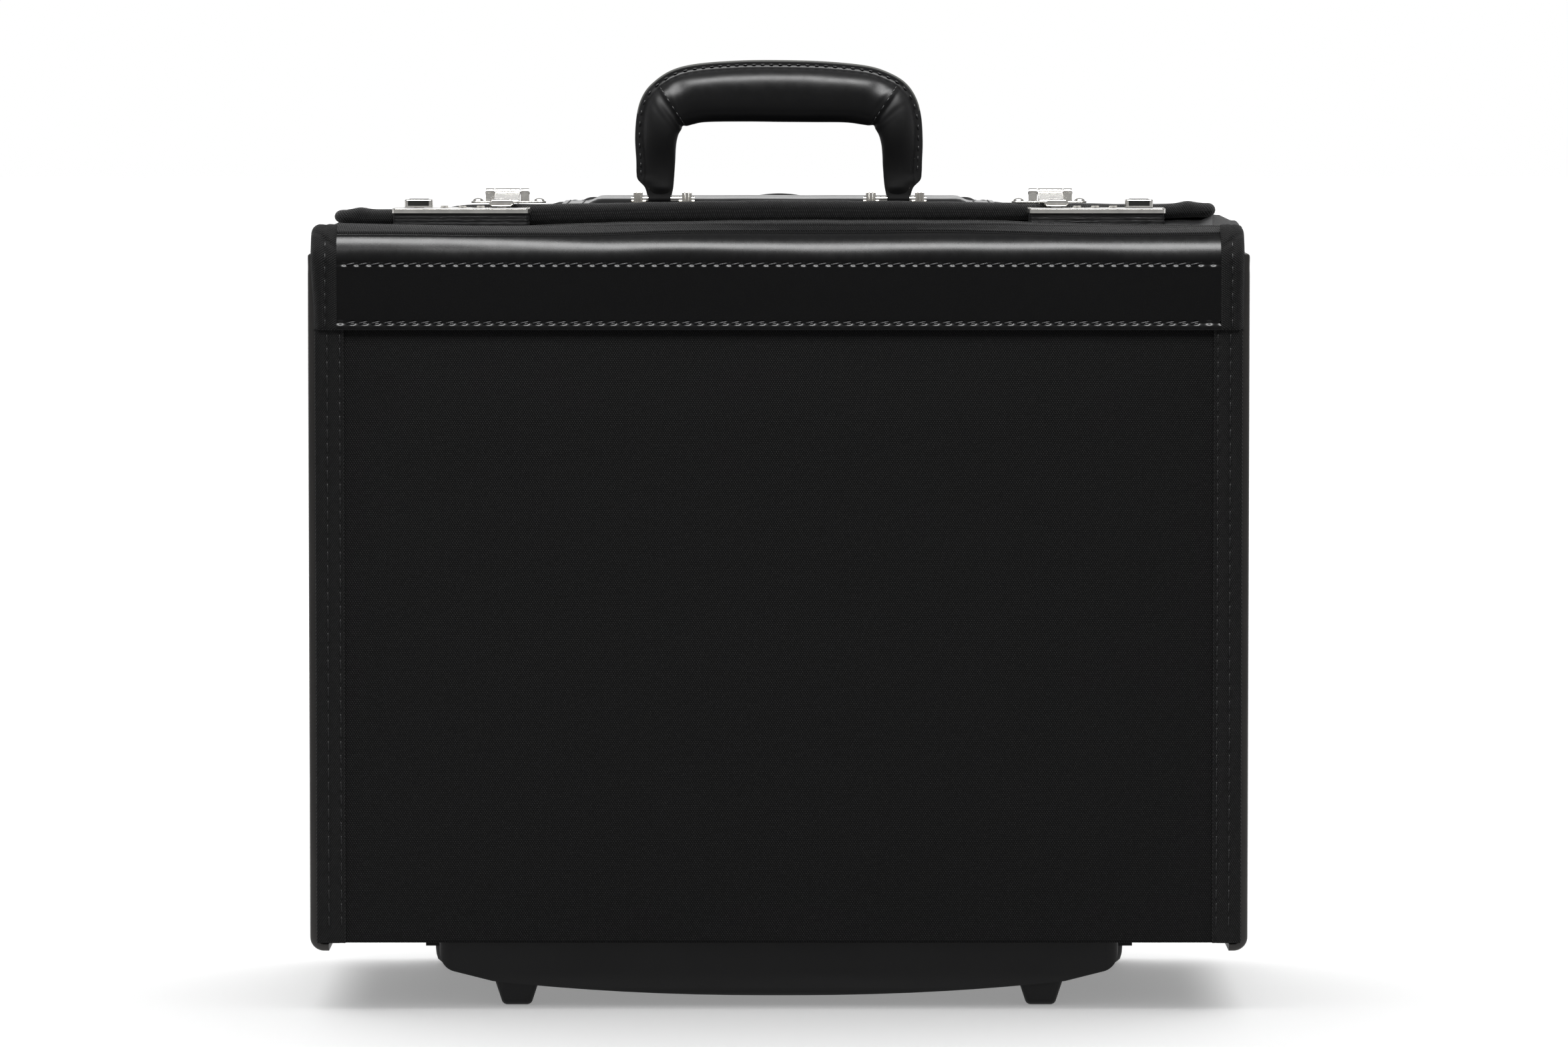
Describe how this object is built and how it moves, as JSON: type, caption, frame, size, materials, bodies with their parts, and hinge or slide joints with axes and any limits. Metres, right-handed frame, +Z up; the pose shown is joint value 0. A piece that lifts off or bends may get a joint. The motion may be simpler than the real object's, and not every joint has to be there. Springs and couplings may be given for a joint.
{
  "type": "wheeled catalog case",
  "caption": "Soft-covered rolling catalog case with front flap, rear lid, combination locks, carry handle and telescoping trolley.",
  "frame": {"origin": "on the floor, midway between the sides and midway between the foremost and rearmost faces", "axes": "+X to the right seen from the front, +Y from the front to the trolley at the back, +Z up"},
  "size_m": [0.471, 0.2426, 0.4752],
  "materials": {
    "ballistic_nylon": "woven black ballistic nylon over board",
    "lining_board": "dark cloth lining over board",
    "binding_tape": "woven black edge tape",
    "leather": "smooth black leather, satin",
    "bumper_vinyl": "smooth dark vinyl",
    "moulded_plastic": "matte moulded black plastic",
    "foot_plastic": "matte black plastic",
    "wheel_tyre": "black urethane",
    "steel": "plain steel",
    "trolley_tube": "black anodised aluminium",
    "nickel": "brushed nickel plate",
    "chrome": "polished nickel plate",
    "dial_brass": "nickel-plated brass"
  },
  "bodies": {
    "case": {"front_panel": "ballistic_nylon", "back_panel": "ballistic_nylon", "side_panel_left": "ballistic_nylon", "side_panel_right": "ballistic_nylon", "bottom_board": "lining_board", "file_divider": "lining_board", "front_leather_band": "leather", "rear_leather_hinge": "leather", "corner_bindings": "binding_tape", "edge_tapes": "binding_tape", "side_bumper_left": "bumper_vinyl", "side_bumper_right": "bumper_vinyl", "base_tray": "moulded_plastic", "front_foot_left": "foot_plastic", "front_foot_right": "foot_plastic", "wheel_housing_left": "moulded_plastic", "wheel_housing_right": "moulded_plastic", "wheel_axles": "steel", "trolley_outer_tube_left": "trolley_tube", "trolley_outer_tube_right": "trolley_tube", "trolley_top_bracket": "moulded_plastic", "trolley_bottom_bracket": "moulded_plastic", "front_leather_hinge": "leather"},
    "wheel_left": {"tyre_left": "wheel_tyre", "hub_left": "moulded_plastic", "bearings_left": "steel"},
    "wheel_right": {"tyre_right": "wheel_tyre", "hub_right": "moulded_plastic", "bearings_right": "steel"},
    "trolley_middle": {"trolley_mid_tube_left": "trolley_tube", "trolley_mid_tube_right": "trolley_tube"},
    "trolley_handle": {"trolley_inner_tube_left": "trolley_tube", "trolley_inner_tube_right": "trolley_tube", "trolley_grip": "moulded_plastic"},
    "trolley_release": {"trolley_button": "moulded_plastic"},
    "lid": {"lid_board": "ballistic_nylon", "lid_binding": "binding_tape", "lid_leather_panel": "leather", "handle_posts": "nickel", "handle_pins": "chrome", "hasp_bracket_left": "chrome", "hasp_bracket_right": "chrome", "hasp_pins": "steel"},
    "carry_handle": {"handle_grip": "leather", "handle_core": "steel"},
    "hasp_left": {"hasp_arm_left": "chrome"},
    "hasp_right": {"hasp_arm_right": "chrome"},
    "front_flap": {"flap_board": "ballistic_nylon", "flap_binding": "binding_tape", "lock_pads": "leather", "lock_plate_left": "chrome", "lock_plate_right": "chrome"},
    "slider_left": {"lock_slider_left": "chrome"},
    "slider_right": {"lock_slider_right": "chrome"},
    "dial_left_1": {"dial_left_1": "dial_brass"},
    "dial_left_2": {"dial_left_2": "dial_brass"},
    "dial_left_3": {"dial_left_3": "dial_brass"},
    "dial_right_1": {"dial_right_1": "dial_brass"},
    "dial_right_2": {"dial_right_2": "dial_brass"},
    "dial_right_3": {"dial_right_3": "dial_brass"}
  },
  "joints": [
    {"name": "lid_hinge", "type": "hinge", "parent": "case", "child": "lid", "pos_m": [0, 0.0883, 0.396], "axis": [-1, 0, 0], "range_deg": [0, 90], "deforming": ["rear_leather_hinge"]},
    {"name": "front_flap_hinge", "type": "hinge", "parent": "case", "child": "front_flap", "pos_m": [0, -0.1177, 0.3815], "axis": [1, 0, 0], "range_deg": [0, 198], "deforming": ["front_leather_hinge", "corner_bindings"]},
    {"name": "carry_handle_hinge", "type": "hinge", "parent": "lid", "child": "carry_handle", "pos_m": [0, -0.0397, 0.4045], "axis": [1, 0, 0], "range_deg": [-70, 70]},
    {"name": "trolley_lower_slide", "type": "slide", "parent": "case", "child": "trolley_middle", "axis": [0, 0, 1], "range_m": [0, 0.28]},
    {"name": "trolley_upper_slide", "type": "slide", "parent": "trolley_middle", "child": "trolley_handle", "axis": [0, 0, 1], "range_m": [0, 0.28]},
    {"name": "trolley_button_press", "type": "slide", "parent": "trolley_handle", "child": "trolley_release", "axis": [0, 0, -1], "range_m": [0, 0.0025], "stiffness_N_per_m": 600, "springref_m": -0.002},
    {"name": "wheel_left_spin", "type": "hinge", "parent": "case", "child": "wheel_left", "pos_m": [-0.17, 0.0753, 0.032], "axis": [1, 0, 0], "continuous": true},
    {"name": "wheel_right_spin", "type": "hinge", "parent": "case", "child": "wheel_right", "pos_m": [0.17, 0.0753, 0.032], "axis": [1, 0, 0], "continuous": true},
    {"name": "hasp_left_hinge", "type": "hinge", "parent": "lid", "child": "hasp_left", "pos_m": [-0.1375, -0.0577, 0.4084], "axis": [-1, 0, 0], "range_deg": [0, 100]},
    {"name": "hasp_right_hinge", "type": "hinge", "parent": "lid", "child": "hasp_right", "pos_m": [0.1375, -0.0577, 0.4084], "axis": [-1, 0, 0], "range_deg": [0, 100]},
    {"name": "slider_left_slide", "type": "slide", "parent": "front_flap", "child": "slider_left", "axis": [-1, 0, 0], "range_m": [0, 0.005], "stiffness_N_per_m": 300, "springref_m": -0.002},
    {"name": "slider_right_slide", "type": "slide", "parent": "front_flap", "child": "slider_right", "axis": [1, 0, 0], "range_m": [0, 0.005], "stiffness_N_per_m": 300, "springref_m": -0.002},
    {"name": "dial_left_1_turn", "type": "hinge", "parent": "front_flap", "child": "dial_left_1", "pos_m": [-0.1505, -0.0757, 0.3972], "axis": [1, 0, 0], "continuous": true},
    {"name": "dial_left_2_turn", "type": "hinge", "parent": "front_flap", "child": "dial_left_2", "pos_m": [-0.1596, -0.0757, 0.3972], "axis": [1, 0, 0], "continuous": true},
    {"name": "dial_left_3_turn", "type": "hinge", "parent": "front_flap", "child": "dial_left_3", "pos_m": [-0.1687, -0.0757, 0.3972], "axis": [1, 0, 0], "continuous": true},
    {"name": "dial_right_1_turn", "type": "hinge", "parent": "front_flap", "child": "dial_right_1", "pos_m": [0.1505, -0.0757, 0.3972], "axis": [1, 0, 0], "continuous": true},
    {"name": "dial_right_2_turn", "type": "hinge", "parent": "front_flap", "child": "dial_right_2", "pos_m": [0.1596, -0.0757, 0.3972], "axis": [1, 0, 0], "continuous": true},
    {"name": "dial_right_3_turn", "type": "hinge", "parent": "front_flap", "child": "dial_right_3", "pos_m": [0.1687, -0.0757, 0.3972], "axis": [1, 0, 0], "continuous": true}
  ],
  "couplings": [
    {"joint": "front_flap_hinge", "follows": "lid_hinge", "ratio": 2.2}
  ]
}
